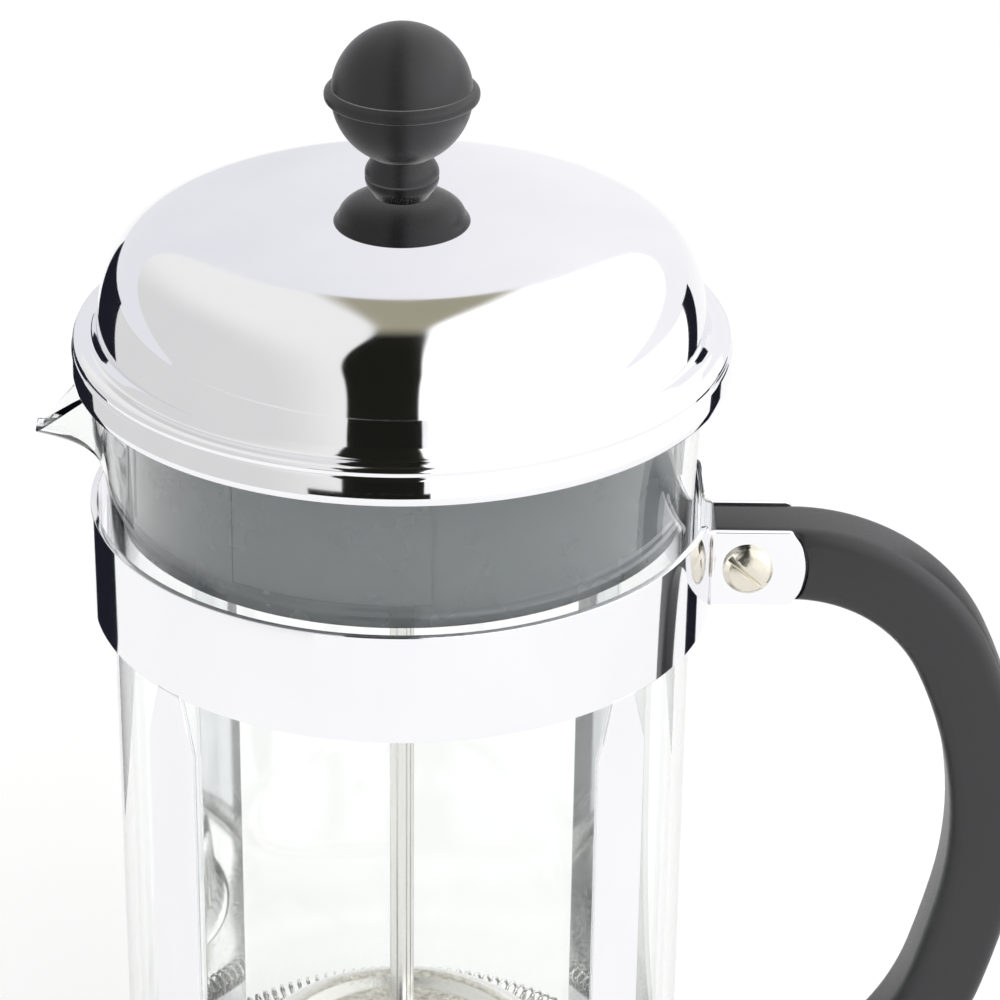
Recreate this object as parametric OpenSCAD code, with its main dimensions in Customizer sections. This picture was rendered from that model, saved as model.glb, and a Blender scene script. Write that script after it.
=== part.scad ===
// French press: a glass beaker in a chromed steel stand, with a domed lid and a plunger.
// +Z is up and the feet stand on z = 0. The handle points to +X and the spout to -X.

/* [Stand] */
// Gap between the beaker and the hoop
hoop_gap = 2.15; // [1:0.05:4]
// Height of the hoop's band
hoop_h = 18.7; // [15:0.1:30]
// How far the hoop's upper edge lies below the beaker's rim
hoop_drop = 26.9; // [20:0.1:60]
// Thickness of the steel strip
strip_t = 1.1; // [0.8:0.1:1.6]
// Width of a leg
leg_w = 10.6; // [8:0.1:14]
// Width of a leg's neck, where it leaves the hoop
neck_w = 5.3; // [4:0.1:8]
// Height over which the neck widens into the leg
neck_h = 9.6; // [5:0.1:15]
// Outside radius of the curled foot
curl_r = 5.6; // [4:0.1:8]
// Height of the base cross's upper face, which carries the beaker
seat_z = 13; // [10:0.1:20]
// Thickness of the base cross
cross_t = 1.4; // [1:0.1:2.5]
// Height of the cross's upturned tabs
tab_h = 12.4; // [9:0.1:16]
// Radius of a rivet's head
rivet_r = 2.6; // [2:0.1:3.5]

/* [Handle] */
// Width of the handle, seen from the side
handle_w = 13; // [10:0.1:18]
// Thickness of the handle
handle_t = 12.2; // [10:0.1:18]
// Length of the straight lug between the stand's ears
lug_len = 13.1; // [11:0.1:20]
// Height of the ears
ear_h = 13.4; // [11:0.1:16]
// Length of the ears, out from the hoop
ear_len = 15.4; // [12:0.1:20]
// Length of the bevel on an ear's corners
ear_bevel = 2; // [1:0.1:3]
// Radius of the clamp bolt
bolt_r = 2; // [1.5:0.1:2.5]
// Radius of the bolt's head
bolt_head_r = 4.15; // [3.5:0.1:5]
// Thickness of the bolt's head
bolt_head_h = 2.1; // [1.5:0.1:3]

/* [Beaker] */
// Outside radius of the beaker
beaker_r = 48.25; // [38:0.05:60]
// Height of the beaker
beaker_h = 177; // [140:0.5:220]
// Thickness of the glass wall
glass_t = 2.2; // [1.5:0.1:3]
// Thickness of the glass bottom
glass_base_t = 2.6; // [2:0.1:5]
// How far the mouth flares outwards
flare = 1.9; // [1:0.1:2.2]
// Height of the flared stretch under the rim
flare_h = 30; // [15:0.5:40]
// Reach of the spout's tip beyond the beaker's side
spout_reach = 12.2; // [9:0.1:16]
// How far the spout's tip lies below the rim
spout_drop = 14.5; // [12:0.1:20]
// Width of the spout at the beaker
spout_w = 27; // [20:0.5:32]

/* [Lid] */
// Gap between the beaker's lip and the lid's skirt
skirt_gap = 2.75; // [2:0.05:5]
// Width of the ledge round the dome
ledge_w = 4.2; // [3:0.1:7]
// Height of the dome above the ledge
dome_h = 17.7; // [14:0.1:24]
// Height of the ledge above the beaker's rim
ledge_rise = 3; // [2.6:0.1:5]
// Depth of the skirt below the ledge
skirt_h = 6.3; // [5:0.1:9]
// Thickness of the lid's steel
lid_t = 0.8; // [0.6:0.1:1]
// Depth of the strainer's skirt below the beaker's rim
strainer_depth = 28; // [20:0.5:36]
// Thickness of the strainer's plastic
strainer_t = 1.6; // [1.2:0.1:2]
// Number of slots in the strainer
slot_count = 9; // [5:1:11]
// Width of a strainer slot
slot_w = 1.6; // [1:0.1:2]

/* [Knob] */
// Radius of the ball
ball_r = 11.3; // [9:0.1:14]
// Height of the ball's centre above the dome
ball_rise = 22; // [20:0.1:30]
// Radius of the ball's ridge
ridge_r = 12.4; // [11.6:0.1:15]
// Radius of the bead under the ball
bead_r = 5.95; // [5:0.05:7]
// Radius of the ferrule where it stands on the dome
ferrule_r = 11.08; // [9:0.02:14]

/* [Plunger] */
// Radius of the rod
rod_r = 2.1; // [1.5:0.05:3]
// Height of the filter mesh above the beaker's bottom, when pressed
pressed_rise = 20.5; // [12:0.5:40]
// Width of the spring plate's brim round its raised crown
brim_w = 13.75; // [8:0.25:20]
// Height of the crown above the mesh
crown_h = 16.5; // [8:0.5:20]
// Radius of the coil spring's turns
coil_r = 2; // [1.5:0.1:3]
// Thickness of the filter's steel plates
plate_t = 0.8; // [0.6:0.1:1.2]

/* [Fits] */
// Gap round a part that slides or turns in another
run_gap = 0.05; // [0.02:0.01:0.09]
// Gap between parts that only rest on each other
rest_gap = 0.1; // [0.05:0.05:0.2]
// Gap that keeps two separate parts from rubbing
free_gap = 0.3; // [0.25:0.05:1]

/* [Hidden] */
fine = 96;
skin = 1;                                // how far a cutting solid passes a face

// Beaker
beaker_z = seat_z + rest_gap;
rim_z = beaker_z + beaker_h;
bore_r = beaker_r - glass_t;
base_round = 7;                          // radius of the beaker's bottom corner
spout_tip_z = rim_z - spout_drop;
spout_tip_r = 3.2;
spout_root = bore_r - 1.8;               // where the spout's body starts, inside the wall

// Stand
hoop_in_r = beaker_r + hoop_gap;
hoop_r = hoop_in_r + strip_t;
hoop_top_z = rim_z - hoop_drop;
hoop_low_z = hoop_top_z - hoop_h;
curl_z = curl_r - 0.2;                   // the feet are a little flat underneath
curl_c = hoop_in_r + curl_r;             // distance of the curl's centre from the axis
tab_r = hoop_in_r - run_gap;             // the tabs lie against the legs
cross_low_z = seat_z - cross_t;
rivet_z = cross_low_z + tab_h * 0.6;
rivet_shank_r = rivet_r * 0.55;
leg_turns = [45, 135, 225, 315];

// Handle, in the plane of the beaker's axis: [radius, turn] of each bend, from the lug down
handle_bends = [[30.5, 64], [80, 18], [74, 20], [200, 4], [50, 52]];
handle_tail = 7;                         // straight end after the last bend
ear_z = hoop_low_z + 1.1;
lug_z = ear_z + ear_h / 2;
lug_x = hoop_r + 0.4;
lug_half = handle_t / 2 - strip_t;       // half the lug's thickness
ear_x = hoop_r + ear_len;
bolt_x = hoop_r + 5.8;
nut_r = bolt_r * 2.02;                   // across the corners of a standard nut
nut_h = bolt_r * 1.6;
washer_r = bolt_r * 2.25;
washer_t = 0.8;

// Lid
lid_r = beaker_r + flare + skirt_gap + lid_t;
dome_r = lid_r - ledge_w;
ledge_z = rim_z + ledge_rise;
crown_z = ledge_z + dome_h;
dome_power = 10;                         // how square the dome's shoulder is
hub_r = rod_r + 3.3;                     // outside radius of the ferrule's tube
strainer_r = bore_r - 0.75;
strainer_low_z = rim_z - strainer_depth;
web_z = rim_z - 1.6;                     // underside of the strainer's web
web_t = 1.7;
brim_z = rim_z + rest_gap;
lid_nut_h = 4;
lid_nut_r = hub_r + 3.6;

// Knob
ball_z = crown_z + ball_rise;
seam_z = ball_z - 13.9;                  // where the knob parts from the ferrule
bead_h = 3.3;
cap_r = ball_r - 1.2;                    // the cap's spigot inside the ridge
insert_r = rod_r + 1.5;
insert_z = ball_z - 10.5;
insert_h = 9;

// Plunger
mesh_z = beaker_z + glass_base_t + pressed_rise;
mesh_t = 0.4;
spring_r = bore_r - free_gap - coil_r;   // radius of the ring along the spring's middle
spring_z = mesh_z + mesh_t + coil_r;
mesh_r = bore_r - 2 * free_gap;
plate_r = spring_r - coil_r;
crown_r = plate_r - brim_w;
plate_top_z = mesh_z + crown_h;
cross_r = mesh_r - 6.45;
hub_h = 7;
hub_boss_r = rod_r + 2.9;
collar_r = rod_r + 2.1;
collar_h = 3;
rod_top_z = insert_z + insert_h - 0.5;
rod_low_z = mesh_z - plate_t - hub_h + 0.8;

// The whole thing is placed so that its box is centred on the origin
handle_reach = handle_far(0, lug_x + lug_len, 0);
spout_far = beaker_r + spout_reach;
axis_x = (spout_far - handle_reach) / 2;

function arc(cx, cy, r, from, to, steps) =
    [for (i = [0:steps]) let (a = from + (to - from) * i / steps) [cx + r * cos(a), cy + r * sin(a)]];

// Widest reach of the handle: walks along its bends and keeps the middle line's farthest point
function handle_far(k, x, turn) =
    k == len(handle_bends) ? 0
    : let (r = handle_bends[k][0], next = turn + handle_bends[k][1])
        turn <= 90 && next >= 90 ? x + r * (1 - sin(turn)) + handle_w / 2
        : handle_far(k + 1, x + r * (sin(next) - sin(turn)), next);

// Middle line of the handle as [x, z, turn], bend after bend
function bend_start(k) =
    k == 0 ? [lug_x + lug_len, lug_z, 0]
    : let (p = bend_start(k - 1), r = handle_bends[k - 1][0], t = p[2] + handle_bends[k - 1][1])
        [p[0] + r * (sin(t) - sin(p[2])), p[1] - r * (cos(p[2]) - cos(t)), t];
function handle_line(steps) =
    [for (k = [0:len(handle_bends) - 1], i = [0:steps - 1])
        let (p = bend_start(k), r = handle_bends[k][0], t = p[2] + handle_bends[k][1] * i / steps)
        [p[0] + r * (sin(t) - sin(p[2])), p[1] - r * (cos(p[2]) - cos(t)), t]];
function side(line, d) = [for (p = line) [p[0] + d * sin(p[2]), p[1] + d * cos(p[2])]];

// Dome of the lid: flat on top, with a round shoulder that ends upright on the ledge
function dome_line(r, h, steps) =
    [for (i = [0:steps]) let (a = 90 * i / steps) [r * pow(cos(a), 2 / dome_power), ledge_z + h * sin(a)]];

module on_axis() {
    translate([axis_x, 0, 0]) children();
}

module turned() {
    rotate_extrude($fn = fine) children();
}

module ring(outer, inner, low, high) {
    turned() translate([inner, low]) square([outer - inner, high - low]);
}

module leg_outline() {
    polygon([[-neck_w / 2, hoop_low_z + skin], [neck_w / 2, hoop_low_z + skin],
        [neck_w / 2, hoop_low_z], [leg_w / 2, hoop_low_z - neck_h], [leg_w / 2, -skin],
        [-leg_w / 2, -skin], [-leg_w / 2, hoop_low_z - neck_h], [-neck_w / 2, hoop_low_z]]);
}

// Section of a leg and its foot, which curls outwards and is cut flat at the table
module leg_section() {
    difference() {
        union() {
            translate([hoop_in_r, curl_z]) square([strip_t, hoop_low_z + skin - curl_z]);
            intersection() {
                translate([curl_c, curl_z]) difference() {
                    circle(curl_r, $fn = fine);
                    circle(curl_r - strip_t, $fn = fine);
                }
                polygon([[hoop_in_r - skin, curl_z], [curl_c, curl_z],
                    [curl_c + curl_r + skin, curl_z + curl_r * 0.5], [curl_c + curl_r + skin, -curl_r],
                    [hoop_in_r - skin, -curl_r]]);
            }
        }
        translate([hoop_in_r - skin, -2 * curl_r]) square([3 * curl_r, 2 * curl_r]);
    }
}

module ear_outline(extra) {
    polygon([[hoop_in_r - 0.2, ear_z - extra], [ear_x + extra - ear_bevel, ear_z - extra],
        [ear_x + extra, ear_z - extra + ear_bevel], [ear_x + extra, ear_z + ear_h + extra - ear_bevel],
        [ear_x + extra - ear_bevel, ear_z + ear_h + extra], [hoop_in_r - 0.2, ear_z + ear_h + extra]]);
}

// Stands a drawing in x and z upright, from y = low to y = high
module upright(low, high) {
    translate([0, high, 0]) rotate([90, 0, 0]) linear_extrude(high - low) children();
}

module bolt_hole(r) {
    translate([bolt_x, -handle_t, lug_z]) rotate([-90, 0, 0]) cylinder(r = r, h = 2 * handle_t, $fn = fine);
}

module frame_hoop() {
    color("gainsboro") on_axis() difference() {
        union() {
            difference() {
                ring(hoop_r, hoop_in_r, hoop_low_z, hoop_top_z);
                translate([0, -lug_half, hoop_low_z - skin]) cube([2 * hoop_r, 2 * lug_half, hoop_h + 2 * skin]);
            }
            for (turn = leg_turns) intersection() {
                turned() leg_section();
                rotate([0, 0, turn]) rotate([90, 0, 90]) linear_extrude(2 * hoop_r) leg_outline();
            }
            for (low = [-handle_t / 2, lug_half]) upright(low, low + strip_t) ear_outline(0);
        }
        bolt_hole(bolt_r + run_gap);
        for (turn = leg_turns) rotate([0, 0, turn]) translate([hoop_in_r - skin, 0, rivet_z])
            rotate([0, 90, 0]) cylinder(r = rivet_shank_r, h = strip_t + 2 * skin, $fn = fine);
    }
}

module base_cross() {
    color("silver") on_axis() difference() {
        union() {
            translate([0, 0, cross_low_z]) cylinder(r = 16, h = cross_t, $fn = fine);
            for (turn = leg_turns) intersection() {
                rotate([0, 0, turn]) translate([0, -leg_w / 2, cross_low_z]) cube([hoop_r, leg_w, tab_h]);
                union() {
                    ring(tab_r, tab_r - strip_t, cross_low_z, cross_low_z + tab_h);
                    translate([0, 0, cross_low_z]) cylinder(r = tab_r, h = cross_t, $fn = fine);
                }
            }
        }
        translate([0, 0, cross_low_z - skin]) cylinder(r = 9, h = cross_t + 2 * skin, $fn = fine);
        for (turn = leg_turns) rotate([0, 0, turn]) translate([tab_r - strip_t - skin, 0, rivet_z])
            rotate([0, 90, 0]) cylinder(r = rivet_shank_r, h = strip_t + 2 * skin, $fn = fine);
    }
}

module base_rivets() {
    color("silver") on_axis() for (turn = leg_turns) rotate([0, 0, turn]) translate([0, 0, rivet_z])
        rotate([0, 90, 0]) rotate_extrude($fn = fine)
            polygon([[0, tab_r - strip_t], [rivet_shank_r, tab_r - strip_t], [rivet_shank_r, hoop_r],
                [rivet_r, hoop_r], [rivet_r * 0.8, hoop_r + 0.8], [rivet_r * 0.4, hoop_r + 1.2], [0, hoop_r + 1.3]]);
}

module handle_outline() {
    tail = bend_start(len(handle_bends));
    middle = concat([[lug_x, lug_z, 0]], handle_line(10), [tail]);
    tip = [tail[0] + handle_tail * cos(tail[2]), tail[1] - handle_tail * sin(tail[2])];
    end_r = handle_w * 0.4;
    polygon(concat(side(middle, handle_w / 2), arc(tip[0], tip[1], end_r, 90 - tail[2], -90 - tail[2], 12),
        side([for (i = [len(middle) - 1:-1:0]) middle[i]], -handle_w / 2)));
}

module handle() {
    color("dimgray") on_axis() difference() {
        upright(-handle_t / 2, handle_t / 2) handle_outline();
        for (low = [-handle_t / 2 - skin, lug_half]) upright(low, low + strip_t + skin) ear_outline(free_gap);
        bolt_hole(bolt_r + run_gap);
    }
}

module handle_bolt() {
    color("lightgray") on_axis() translate([bolt_x, 0, lug_z]) rotate([90, 0, 0]) difference() {
        rotate_extrude($fn = fine)
            polygon([[0, -handle_t / 2 - washer_t - nut_h - 0.6], [bolt_r, -handle_t / 2 - washer_t - nut_h - 0.6],
                [bolt_r, handle_t / 2], [bolt_head_r, handle_t / 2], [bolt_head_r, handle_t / 2 + bolt_head_h * 0.55],
                [bolt_head_r * 0.8, handle_t / 2 + bolt_head_h * 0.9], [0, handle_t / 2 + bolt_head_h]]);
        rotate([0, 0, -40]) translate([-bolt_head_r - skin, -0.6, handle_t / 2 + bolt_head_h * 0.4])
            cube([2 * bolt_head_r + 2 * skin, 1.2, bolt_head_h]);
    }
}

module handle_washer() {
    color("silver") on_axis() translate([bolt_x, handle_t / 2 + washer_t, lug_z]) rotate([90, 0, 0]) difference() {
        cylinder(r = washer_r, h = washer_t, $fn = fine);
        translate([0, 0, -skin]) cylinder(r = bolt_r + run_gap, h = washer_t + 2 * skin, $fn = fine);
    }
}

module handle_nut() {
    color("silver") on_axis() translate([bolt_x, handle_t / 2 + washer_t + nut_h, lug_z]) rotate([90, 0, 0])
        difference() {
            cylinder(r = nut_r, h = nut_h, $fn = 6);
            translate([0, 0, -skin]) cylinder(r = bolt_r, h = nut_h + 2 * skin, $fn = fine);
        }
}

// Half section of the beaker, filled: straight wall, round bottom corner and a mouth that flares
module beaker_section(wall, floor) {
    flare_z = rim_z - flare_h;
    steps = 8;
    corner = base_round - wall;
    polygon(concat([[0, beaker_z + floor]],
        arc(beaker_r - base_round, beaker_z + floor + corner, corner, -90, 0, 10),
        [for (i = [0:steps]) [beaker_r - wall + flare * pow(i / steps, 2), flare_z + flare_h * i / steps]],
        [[beaker_r - wall + flare, rim_z + floor], [0, rim_z + floor]]));
}

// Cone that the spout is cut from. It widens from the tip to the beaker along the lip, whose slope
// runs from the tip up to the rim.
module spout_cone(wall, extra) {
    slope = atan2(spout_drop, spout_far - spout_root);
    translate([-spout_far, 0, spout_tip_z]) rotate([0, 90 - slope, 0]) translate([0, 0, -extra])
        cylinder(r1 = spout_tip_r - wall, r2 = spout_w / 2 - wall, h = (spout_far - spout_root) / cos(slope) + extra,
            $fn = fine);
}

// Everything above the spout's lip
module over_lip() {
    slope = atan2(spout_drop, spout_far - spout_root);
    translate([-spout_far, -spout_w, spout_tip_z]) rotate([0, -slope, 0])
        translate([-spout_w, 0, 0]) cube([3 * spout_w, 2 * spout_w, 2 * spout_w]);
}

module beaker() {
    color("lightcyan", 0.4) on_axis() difference() {
        union() {
            turned() beaker_section(0, 0);
            difference() {
                spout_cone(0, 0);
                over_lip();
            }
        }
        turned() beaker_section(glass_t, glass_base_t);
        spout_cone(glass_t * 0.8, skin);
    }
}

module lid_ferrule() {
    flange_z = crown_z + rest_gap;
    edge_h = 0.8;
    neck_r = bead_r * 0.72;
    neck_z = seam_z - bead_h;
    steps = 8;
    color("dimgray") on_axis() turned() difference() {
        polygon(concat([[0, web_z - lid_nut_h], [hub_r, web_z - lid_nut_h], [hub_r, flange_z],
            [ferrule_r, flange_z], [ferrule_r, flange_z + edge_h]],
            [for (i = [0:steps]) let (a = 90 * i / steps) [neck_r + (ferrule_r - 0.4 - neck_r) * cos(a),
                flange_z + edge_h + (neck_z - flange_z - edge_h) * sin(a)]],
            [[bead_r * 0.8, neck_z + bead_h * 0.3], [bead_r * 0.97, seam_z - 0.9],
                [bead_r, seam_z - free_gap / 2], [0, seam_z - free_gap / 2]]));
        square([rod_r + run_gap, 2 * crown_z]);
    }
}

module lid_nut() {
    color("silver") on_axis() difference() {
        translate([0, 0, web_z - rest_gap - lid_nut_h + 0.6]) cylinder(r = lid_nut_r, h = lid_nut_h - 0.6, $fn = 6);
        translate([0, 0, web_z - 2 * lid_nut_h]) cylinder(r = hub_r, h = 3 * lid_nut_h, $fn = fine);
    }
}

module lid_dome() {
    steps = 24;
    outer = dome_line(dome_r, dome_h, steps);
    inner = dome_line(dome_r - lid_t, dome_h - lid_t, steps);
    low_z = ledge_z - skirt_h;
    color("gainsboro") on_axis() difference() {
        turned() polygon(concat([[lid_r - lid_t, low_z], [lid_r, low_z], [lid_r - 0.3, ledge_z - 1.4],
            [lid_r - 0.7, ledge_z - 0.4], [lid_r - 1.5, ledge_z]], outer,
            [for (i = [steps:-1:0]) inner[i]],
            [[dome_r - lid_t, ledge_z - lid_t], [lid_r - 1.5, ledge_z - lid_t],
                [lid_r - lid_t - 0.3, ledge_z - 1.6]]));
        translate([0, 0, crown_z - dome_h]) cylinder(r = hub_r + run_gap, h = 2 * dome_h, $fn = fine);
    }
}

module lid_strainer() {
    pitch = 6;                           // degrees from slot to slot
    color("slategray", 0.8) on_axis() difference() {
        union() {
            ring(strainer_r, strainer_r - strainer_t, strainer_low_z, web_z + web_t);
            ring(strainer_r + 0.4, strainer_r - strainer_t, strainer_low_z, strainer_low_z + 2);
            ring(strainer_r, hub_r + run_gap, web_z, web_z + web_t);
            ring(lid_r - 2.4, strainer_r - strainer_t, brim_z, ledge_z - lid_t);
            ring(hub_r + 2, hub_r + run_gap, web_z, crown_z - lid_t);
        }
        for (i = [0:slot_count - 1]) rotate([0, 0, 180 + pitch * (i - (slot_count - 1) / 2)])
            translate([strainer_r - 2 * strainer_t, -slot_w / 2, strainer_low_z + 5])
                cube([3 * strainer_t, slot_w, strainer_depth - 10]);
    }
}

module knob_base() {
    steps = 10;
    low = arc(0, ball_z, ball_r, -64, -6, steps);
    color("dimgray") on_axis() turned() difference() {
        polygon(concat([[0, seam_z + free_gap / 2], [bead_r, seam_z + free_gap / 2], [bead_r * 0.97, seam_z + 1],
            [bead_r * 0.8, seam_z + bead_h * 0.75], [bead_r * 0.74, seam_z + bead_h]], low,
            [[ridge_r - 0.25, ball_z - 0.6], [ridge_r, ball_z], [ridge_r - 0.25, ball_z + 0.6],
                [ball_r + 0.1, ball_z + 1.3], [0, ball_z + 1.3]]));
        square([rod_r + run_gap, 2 * ball_z]);
        translate([0, insert_z]) square([insert_r, insert_h]);
        translate([0, insert_z + insert_h]) square([cap_r, ball_r]);
    }
}

module knob_cap() {
    color("dimgray") on_axis() turned() difference() {
        union() {
            intersection() {
                translate([0, ball_z]) circle(ball_r, $fn = fine);
                translate([0, ball_z + 1.3]) square([2 * ball_r, 2 * ball_r]);
            }
            translate([0, insert_z + insert_h]) square([cap_r, ball_z + 1.3 - insert_z - insert_h]);
        }
        translate([0, insert_z + insert_h - skin]) square([insert_r, 3 + skin]);
    }
}

module knob_insert() {
    color("goldenrod") on_axis() turned() translate([rod_r, insert_z]) square([insert_r - rod_r, insert_h]);
}

module plunger_rod() {
    color("silver") on_axis() translate([0, 0, rod_low_z]) cylinder(r = rod_r, h = rod_top_z - rod_low_z, $fn = fine);
}

module rod_collar() {
    color("silver") on_axis() ring(collar_r, rod_r, plate_top_z, plate_top_z + collar_h);
}

// Section of the spring plate: a raised crown, a sloping side and a brim that holds the spring
module spring_plate() {
    brim_low = mesh_z + mesh_t;
    top = [[rod_r, plate_top_z], [crown_r - 3, plate_top_z], [crown_r - 1, plate_top_z - 0.7],
        [crown_r, plate_top_z - 2.4], [crown_r + 1.2, brim_low + 3.4], [crown_r + 3.2, brim_low + plate_t],
        [plate_r, brim_low + plate_t]];
    color("silver") on_axis() turned() polygon(concat(top, [[plate_r, brim_low], [crown_r + 2.6, brim_low],
        [crown_r + 0.4, brim_low + 3], [crown_r - plate_t, plate_top_z - 2.6], [crown_r - 1.6, plate_top_z - 1.4],
        [crown_r - 3.2, plate_top_z - plate_t], [rod_r, plate_top_z - plate_t]]));
}

module filter_spring() {
    color("silver") on_axis() turned() translate([spring_r, spring_z]) circle(coil_r, $fn = fine);
}

module filter_mesh() {
    color("darkgray") on_axis() ring(mesh_r, rod_r, mesh_z, mesh_z + mesh_t);
}

module cross_plate() {
    hole_r = (cross_r - hub_boss_r - 2) / 4;
    color("silver") on_axis() difference() {
        ring(cross_r, rod_r, mesh_z - plate_t, mesh_z);
        for (turn = [0:60:300]) rotate([0, 0, turn]) translate([(cross_r + hub_boss_r) / 2 + 1, 0, mesh_z - 2 * plate_t])
            cylinder(r = hole_r, h = 3 * plate_t, $fn = fine);
    }
}

module cross_hub() {
    color("silver") on_axis() ring(hub_boss_r, rod_r, mesh_z - plate_t - hub_h, mesh_z - plate_t);
}

frame_hoop();
base_cross();
base_rivets();
handle();
handle_bolt();
handle_washer();
handle_nut();
beaker();
lid_ferrule();
lid_nut();
lid_dome();
lid_strainer();
knob_base();
knob_cap();
knob_insert();
plunger_rod();
rod_collar();
spring_plate();
filter_spring();
filter_mesh();
cross_plate();
cross_hub();
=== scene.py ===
import math
import bpy
from mathutils import Matrix, Vector


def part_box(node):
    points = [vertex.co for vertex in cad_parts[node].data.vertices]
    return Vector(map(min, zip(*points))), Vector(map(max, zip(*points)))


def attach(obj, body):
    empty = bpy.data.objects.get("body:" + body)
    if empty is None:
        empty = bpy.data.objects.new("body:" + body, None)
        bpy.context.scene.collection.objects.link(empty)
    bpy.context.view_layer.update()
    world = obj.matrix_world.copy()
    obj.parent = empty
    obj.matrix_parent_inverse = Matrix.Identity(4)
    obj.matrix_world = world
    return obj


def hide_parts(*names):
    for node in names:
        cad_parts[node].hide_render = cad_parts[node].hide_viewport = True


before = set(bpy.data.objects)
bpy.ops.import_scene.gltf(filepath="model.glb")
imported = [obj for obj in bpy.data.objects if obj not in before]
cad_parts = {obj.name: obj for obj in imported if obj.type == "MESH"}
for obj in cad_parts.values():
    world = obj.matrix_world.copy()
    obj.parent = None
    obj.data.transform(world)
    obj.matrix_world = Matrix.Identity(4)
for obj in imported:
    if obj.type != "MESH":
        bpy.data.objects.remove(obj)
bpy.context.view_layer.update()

mm = 0.001
turnAll = 2 * math.pi
domeLow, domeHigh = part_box("lid_dome")
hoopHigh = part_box("frame_hoop")[1]
glassLow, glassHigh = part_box("beaker")
axisX = (domeLow.x + domeHigh.x) / 2  # the rod's axis
axisPoint = (axisX, 0, 0)



def clearSelection():
    if bpy.context.object and bpy.context.object.mode != "OBJECT":
        bpy.ops.object.mode_set(mode="OBJECT")
    bpy.ops.object.select_all(action="DESELECT")


def pick(piece):
    clearSelection()
    piece.select_set(True)
    bpy.context.view_layer.objects.active = piece


def editAll(piece):
    pick(piece)
    bpy.ops.object.mode_set(mode="EDIT")
    bpy.ops.mesh.select_mode(type="VERT")
    bpy.ops.mesh.select_all(action="SELECT")


def nameIt(name):
    piece = bpy.context.object
    piece.name = name
    piece.data.name = name
    return piece


def shadeSmooth(piece, degrees=35):
    pick(piece)
    bpy.ops.object.shade_smooth_by_angle(angle=math.radians(degrees))


def evenShading(piece):  # flat faces keep their own direction beside rounded edges
    applyModifier(piece, "WEIGHTED_NORMAL", keep_sharp=True, weight=100)


def applyModifier(piece, kind, **settings):
    pick(piece)
    modifier = piece.modifiers.new(kind, kind)
    for key, value in settings.items():
        setattr(modifier, key, value)
    bpy.ops.object.modifier_apply(modifier=modifier.name)


def softenEdges(piece, width, segments=3, degrees=30):
    applyModifier(piece, "BEVEL", width=width * mm, segments=segments, limit_method="ANGLE",
                  angle_limit=math.radians(degrees), harden_normals=False)


def thicken(piece, thickness, offset=0.0):
    applyModifier(piece, "SOLIDIFY", thickness=thickness * mm, offset=offset, use_even_offset=True)


def joinAll(first, others):
    pick(first)
    for other in others:
        other.select_set(True)
    bpy.ops.object.join()
    return first


def copyOf(piece, name):  # a copy with its own mesh
    pick(piece)
    bpy.ops.object.duplicate()
    return nameIt(name)


def turnAboutRod(piece, degrees):
    editAll(piece)
    bpy.ops.object.mode_set(mode="OBJECT")
    piece.data.transform(Matrix.Translation(axisPoint) @ Matrix.Rotation(math.radians(degrees), 4, "Z")
                         @ Matrix.Translation(-Vector(axisPoint)))


def placeIt(piece, location, tilt=(0, 0, 0)):  # tilt in degrees, then applied
    pick(piece)
    piece.rotation_euler = [math.radians(a) for a in tilt]
    piece.location = location
    bpy.ops.object.transform_apply(location=True, rotation=True, scale=True)


def cutWith(piece, cutter):
    applyModifier(piece, "BOOLEAN", operation="DIFFERENCE", object=cutter, solver="EXACT")
    bpy.data.objects.remove(cutter)


def addBox(name, low, high):  # corners in mm, measured from the rod's axis
    clearSelection()
    middle = [(a + b) / 2 * mm for a, b in zip(low, high)]
    bpy.ops.mesh.primitive_cube_add(size=1, location=(axisX + middle[0], middle[1], middle[2]),
                                    scale=[(b - a) * mm for a, b in zip(low, high)])
    bpy.ops.object.transform_apply(location=True, rotation=True, scale=True)
    return nameIt(name)


def addSection(name, middle, height, width):  # an upright rectangle across the x axis, left in edit mode
    clearSelection()
    x, y, z = middle
    bpy.ops.mesh.primitive_plane_add(size=1, rotation=(0, math.pi / 2, 0),
                                     location=(axisX + x * mm, y * mm, z * mm))
    piece = nameIt(name)
    piece.scale = (height * mm, width * mm, 1)
    bpy.ops.object.transform_apply(location=True, rotation=True, scale=True)
    editAll(piece)
    return piece


def rounded(corners, steps=6):
    # Each corner is (r, z) or (r, z, softness) in mm. A soft corner becomes a short curve.
    path = []
    for k, corner in enumerate(corners):
        here = Vector(corner[:2])
        if len(corner) < 3 or k in (0, len(corners) - 1):
            path.append(here)
            continue
        back = (Vector(corners[k - 1][:2]) - here).normalized() * corner[2]
        ahead = (Vector(corners[k + 1][:2]) - here).normalized() * corner[2]
        for i in range(steps + 1):
            t = i / steps
            path.append(here + back * (1 - t) ** 2 + ahead * t ** 2)
    return path


def drawPath(name, path, startX=None):  # extrudes one vertex from point to point, in the x-z plane
    startX = axisX if startX is None else startX
    clearSelection()
    bpy.ops.mesh.primitive_plane_add(size=mm)
    piece = nameIt(name)
    editAll(piece)
    bpy.ops.mesh.merge(type="CENTER")
    bpy.ops.transform.translate(value=(startX + path[0].x * mm, 0, path[0].y * mm))
    for a, b in zip(path, path[1:]):
        step = ((b.x - a.x) * mm, 0, (b.y - a.y) * mm)
        bpy.ops.mesh.extrude_region_move(TRANSFORM_OT_translate={"value": step})
    return piece


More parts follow.
